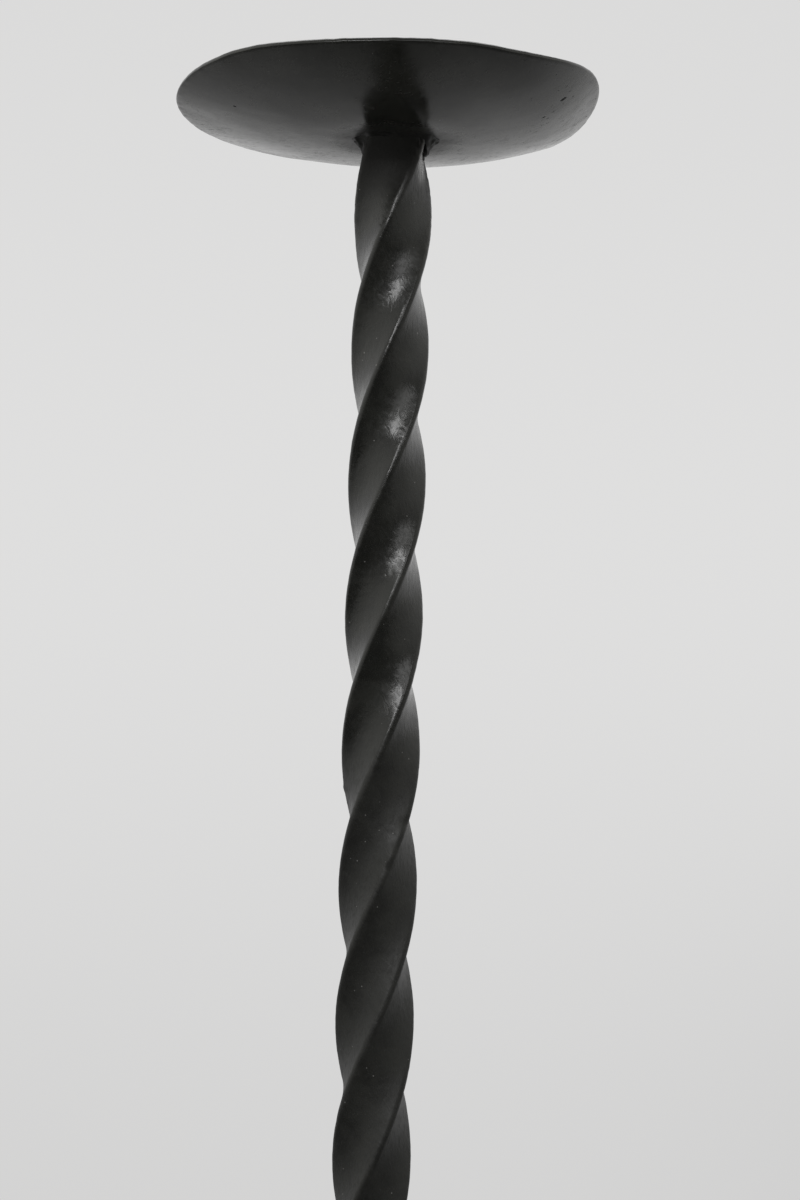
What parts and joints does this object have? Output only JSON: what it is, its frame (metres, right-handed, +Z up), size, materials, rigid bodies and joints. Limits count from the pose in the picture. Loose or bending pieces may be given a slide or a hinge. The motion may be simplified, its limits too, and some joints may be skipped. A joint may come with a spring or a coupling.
{
  "type": "torchere candle stand",
  "caption": "Floor-standing iron candle stand: a dished drip pan with a pricket on a twisted square stem, carried by riveted cabriole legs with round penny feet.",
  "frame": {"origin": "on the stem's axis at floor level, in the middle between the feet", "axes": "+Z up along the stem; the legs lie on the diagonals between X and Y; -Y is the front"},
  "size_m": [0.3288, 0.3288, 1.334],
  "materials": {
    "stem_black": "satin black over forged bar, bright wear along the twisted edges",
    "pan_black": "semi-gloss black sheet with small pits and dents",
    "weld_black": "rough lumpy weld bead under black paint",
    "leg_black": "satin black over forged bar",
    "foot_black": "satin black, hammered, worn at the rim",
    "fitting_black": "satin black over hammered iron",
    "pricket_iron": "black iron, rubbed bright towards the point"
  },
  "bodies": {
    "root": {"stem": "stem_black", "drip_pan": "pan_black", "pan_weld": "weld_black", "candle_rest": "fitting_black", "pricket": "pricket_iron", "upper_collar": "fitting_black", "lower_collar": "fitting_black", "finial": "fitting_black", "leg_front_right": "leg_black", "leg_back_right": "leg_black", "leg_back_left": "leg_black", "leg_front_left": "leg_black", "foot_front_right": "foot_black", "foot_back_right": "foot_black", "foot_back_left": "foot_black", "foot_front_left": "foot_black", "leg_rivet_1": "fitting_black", "leg_rivet_2": "fitting_black", "leg_rivet_3": "fitting_black", "leg_rivet_4": "fitting_black"}
  },
  "joints": []
}
